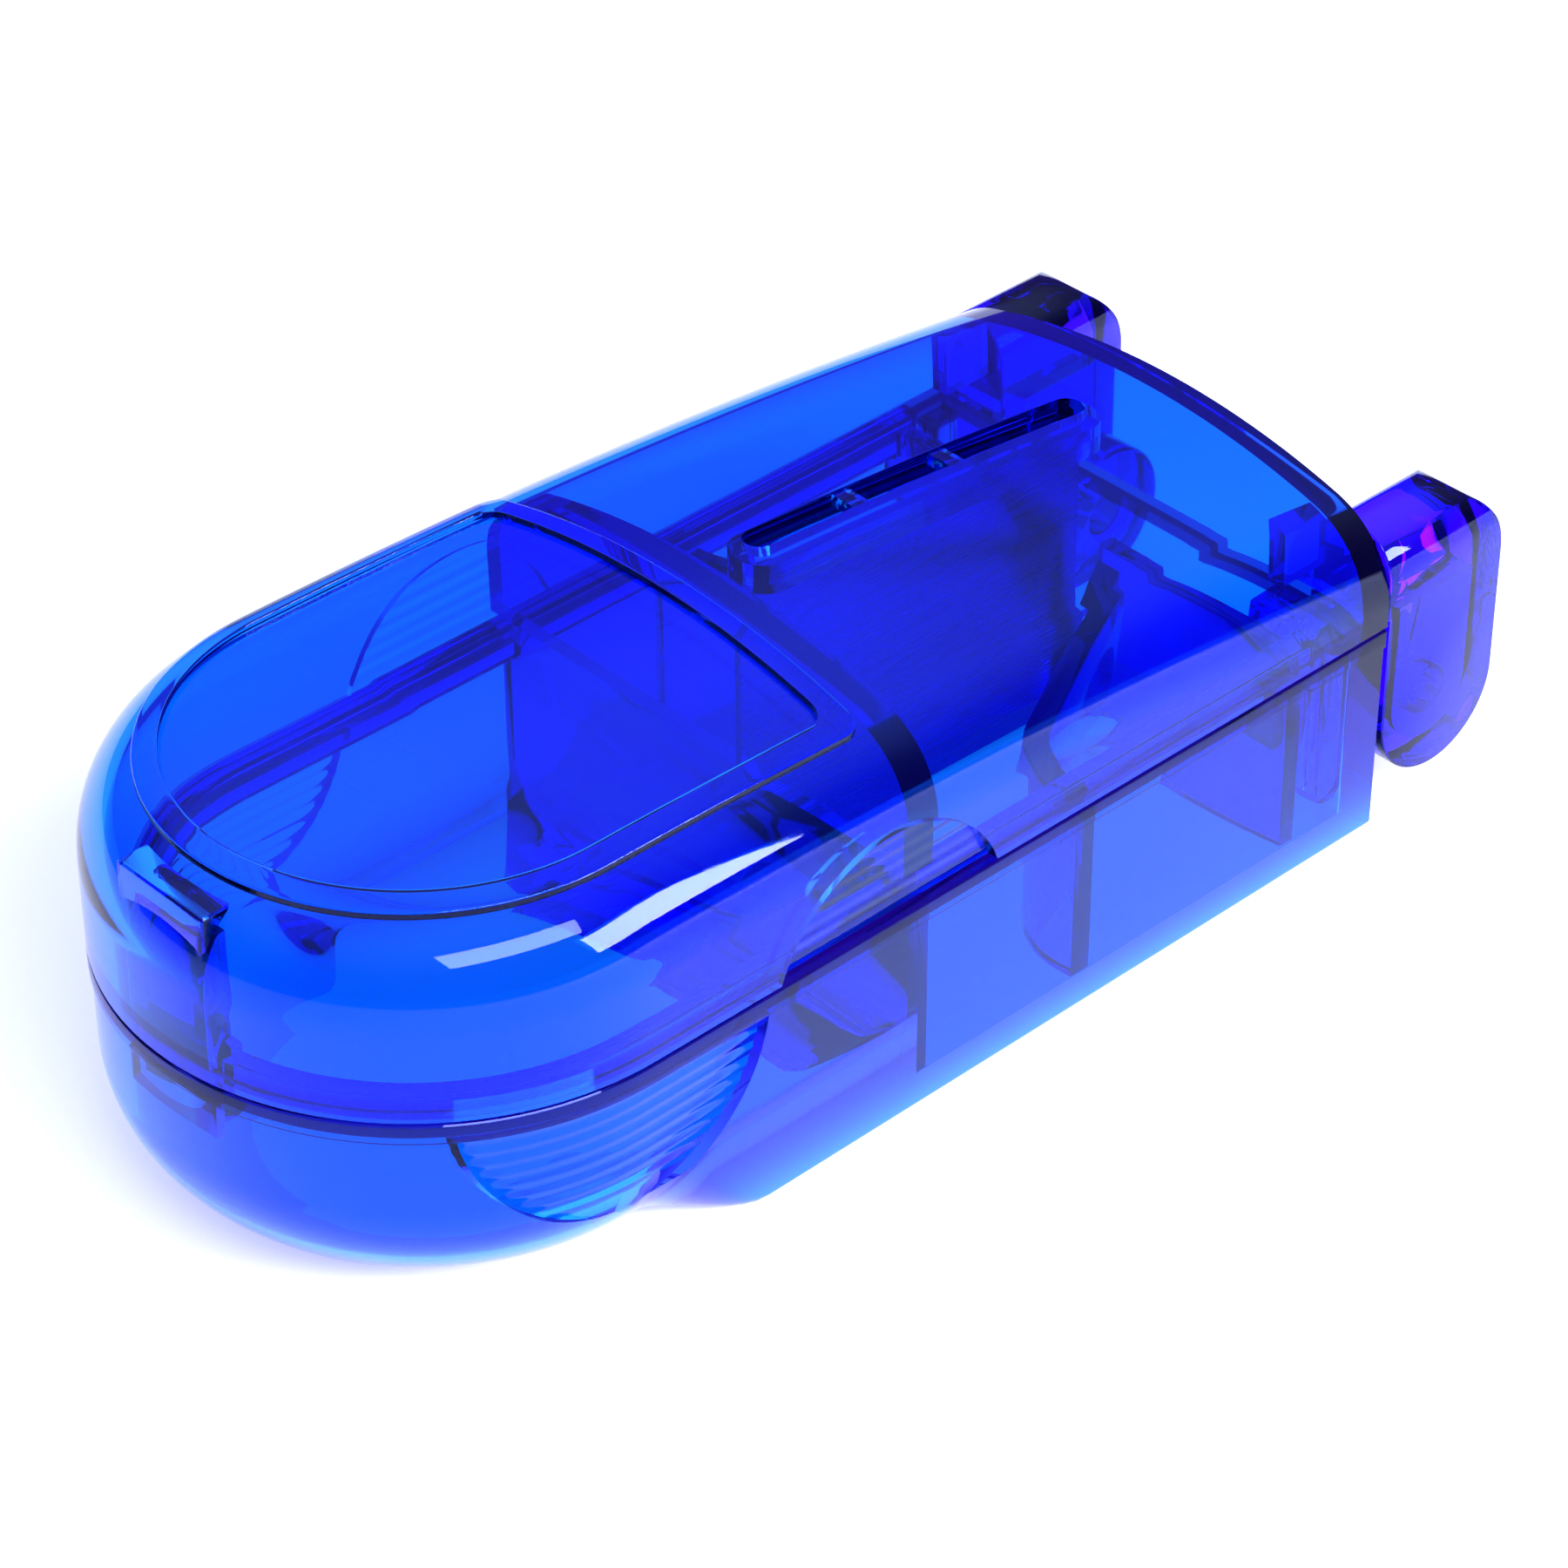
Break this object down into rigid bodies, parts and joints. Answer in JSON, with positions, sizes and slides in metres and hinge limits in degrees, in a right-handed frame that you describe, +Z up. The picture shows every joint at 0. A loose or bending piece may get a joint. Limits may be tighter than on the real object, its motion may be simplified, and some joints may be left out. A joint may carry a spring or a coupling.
{
  "type": "pill splitter",
  "caption": "Translucent blue pill splitter with a rounded front, a hinged lid, a steel blade over two V jaws and a front storage compartment",
  "frame": {"origin": "Centre of the bounding box in plan, on the flat underside that rests on a table", "axes": "+X to the right across the width, -Y towards the rounded front, +Y towards the hinge, +Z up"},
  "size_m": [0.036, 0.0839, 0.027],
  "materials": {
    "clear_blue": "glossy transparent moulding",
    "deep_blue": "glossy transparent moulding, seen edge-on",
    "blade_steel": "ground stainless steel"
  },
  "bodies": {
    "base": {"base_shell": "clear_blue", "locating_lip": "deep_blue", "compartment_partition": "clear_blue", "rear_bulkhead": "clear_blue", "jaw_left": "deep_blue", "jaw_right": "deep_blue", "base_grip_left": "deep_blue", "base_grip_right": "deep_blue", "corner_gusset_left": "clear_blue", "corner_gusset_right": "clear_blue", "knuckle_left": "deep_blue", "knuckle_right": "deep_blue"},
    "lid": {"lid_shell": "clear_blue", "lid_partition": "deep_blue", "window_land": "clear_blue", "latch_tongue": "deep_blue", "lid_grip_left": "deep_blue", "lid_grip_right": "deep_blue", "lid_rib_left": "deep_blue", "lid_rib_right": "deep_blue", "hinge_ear_left": "clear_blue", "hinge_ear_right": "clear_blue", "hinge_pin_left": "deep_blue", "hinge_pin_right": "deep_blue", "blade_carrier": "deep_blue", "blade_clips": "deep_blue", "blade": "blade_steel"}
  },
  "joints": [
    {"name": "lid_hinge", "type": "hinge", "parent": "base", "child": "lid", "pos_m": [0, 0.0371, 0.007], "axis": [-1, 0, 0], "range_deg": [0, 105]}
  ]
}
